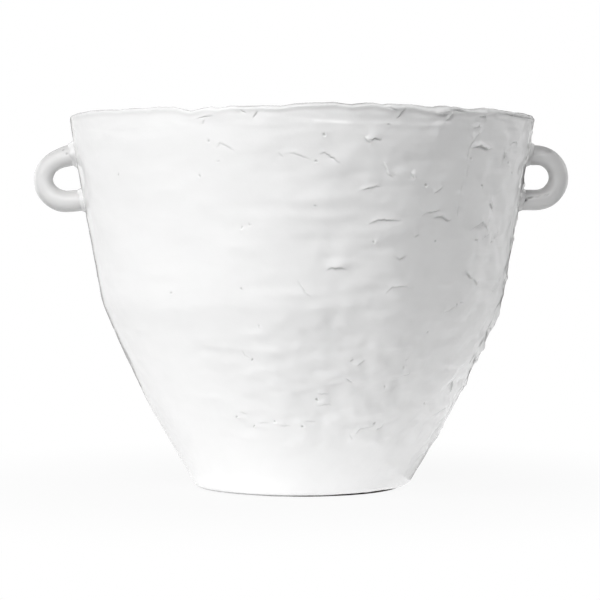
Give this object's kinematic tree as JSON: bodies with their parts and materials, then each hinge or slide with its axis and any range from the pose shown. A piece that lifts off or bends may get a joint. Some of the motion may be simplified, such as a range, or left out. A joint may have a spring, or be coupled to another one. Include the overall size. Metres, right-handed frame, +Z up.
{
  "type": "cachepot",
  "caption": "Slab-built glazed ceramic pot with a narrow foot, a coned wall that opens to a wavering rim, and a small loop handle on each side; hides a plant's nursery pot.",
  "frame": {"origin": "on the table, under the middle of the pot", "axes": "+Z up along the pot's axis, +X to the right handle as the picture shows it, +Y away from the viewer"},
  "size_m": [0.41, 0.355, 0.2859],
  "materials": {
    "white_glaze": "glossy",
    "bare_clay": "matte"
  },
  "bodies": {
    "root": {"floor_slab": "white_glaze", "floor_seam_coil": "white_glaze", "lower_wall": "white_glaze", "upper_wall": "white_glaze", "rim_coil": "white_glaze", "left_handle": "white_glaze", "right_handle": "white_glaze", "left_upper_collar": "white_glaze", "left_lower_collar": "white_glaze", "right_upper_collar": "white_glaze", "right_lower_collar": "white_glaze", "foot_ring": "bare_clay"}
  },
  "joints": []
}
